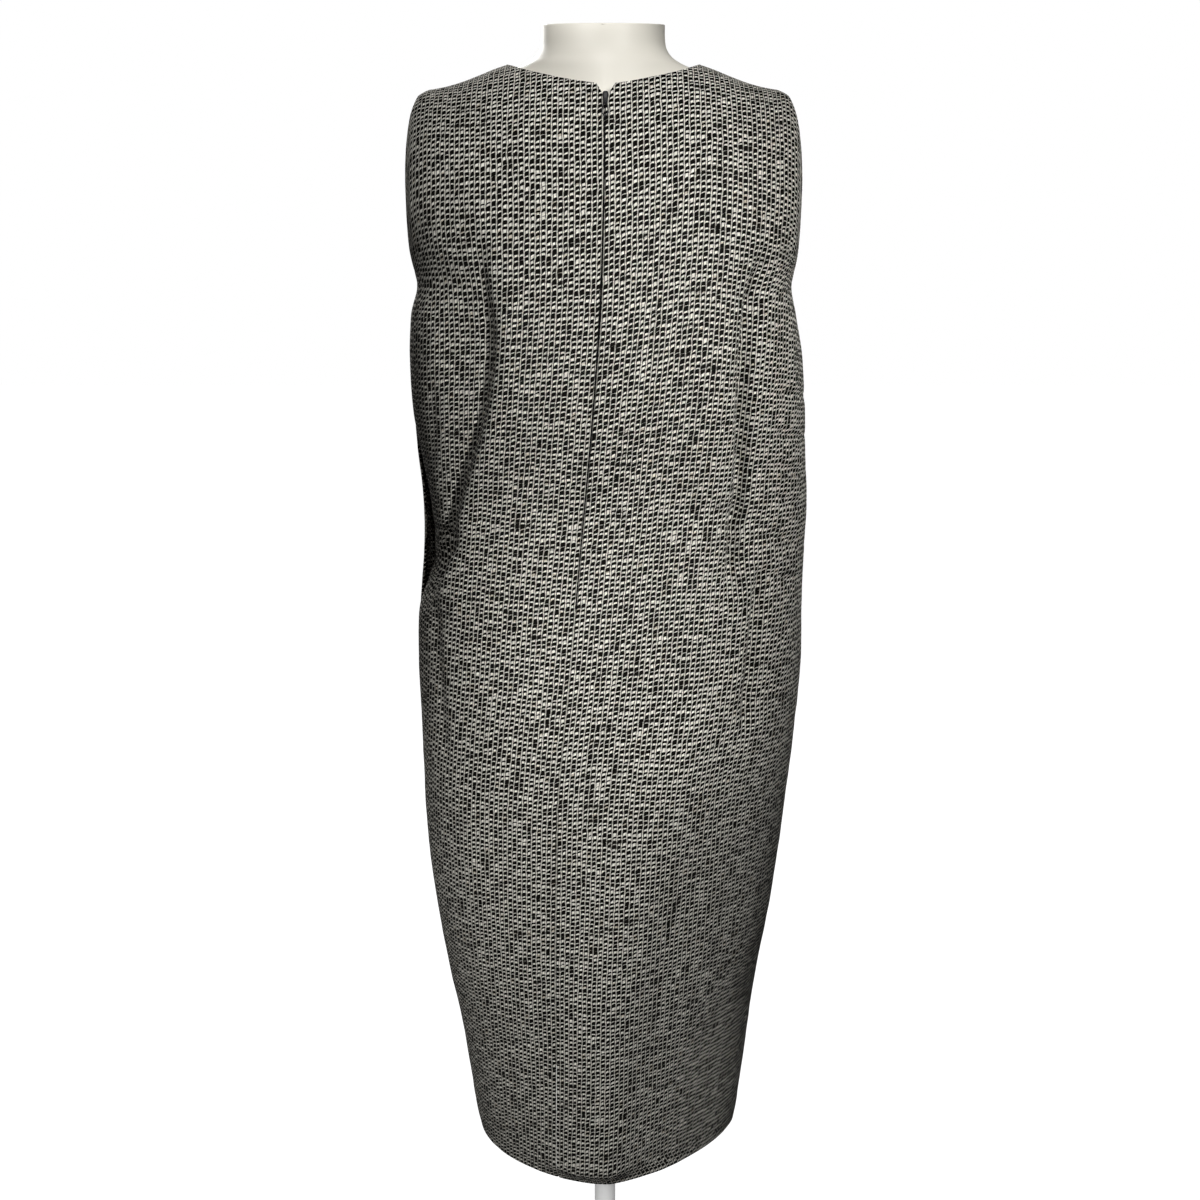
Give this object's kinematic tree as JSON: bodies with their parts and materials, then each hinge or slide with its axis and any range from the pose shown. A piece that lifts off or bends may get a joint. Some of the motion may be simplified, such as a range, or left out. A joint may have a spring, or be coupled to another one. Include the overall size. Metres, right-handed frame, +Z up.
{
  "type": "sheath dress on a limbless dress form",
  "caption": "Sleeveless knee-length tweed sheath dress with a back zip, worn by a limbless dress form on a round-based stand.",
  "frame": {"origin": "middle of the underside of the stand's round base, on the floor", "axes": "+Z up, the dress's front towards -Y, its back and zip towards +Y, the wearer's left towards +X"},
  "size_m": [0.4, 0.4, 1.5611],
  "materials": {
    "tweed": "black and off-white woven tweed",
    "zip_tape": "black woven tape",
    "zip_metal": "black enamel",
    "form": "smooth cream",
    "stand": "white powder coat"
  },
  "bodies": {
    "dress_and_form": {"dress_front": "tweed", "dress_back_left": "tweed", "dress_back_right": "tweed", "zip_tape": "zip_tape", "zip_slider": "zip_metal", "form_trunk": "form", "stand_socket": "stand", "stand_pole": "stand", "stand_collar": "stand", "stand_base": "stand"},
    "zip_tab": {"zip_pull": "zip_metal"}
  },
  "joints": [
    {"name": "zip_tab_hinge", "type": "hinge", "parent": "dress_and_form", "child": "zip_tab", "pos_m": [-0.00024, 0.08789, 1.4836], "axis": [1, 0, 0], "range_deg": [0, 150]}
  ]
}
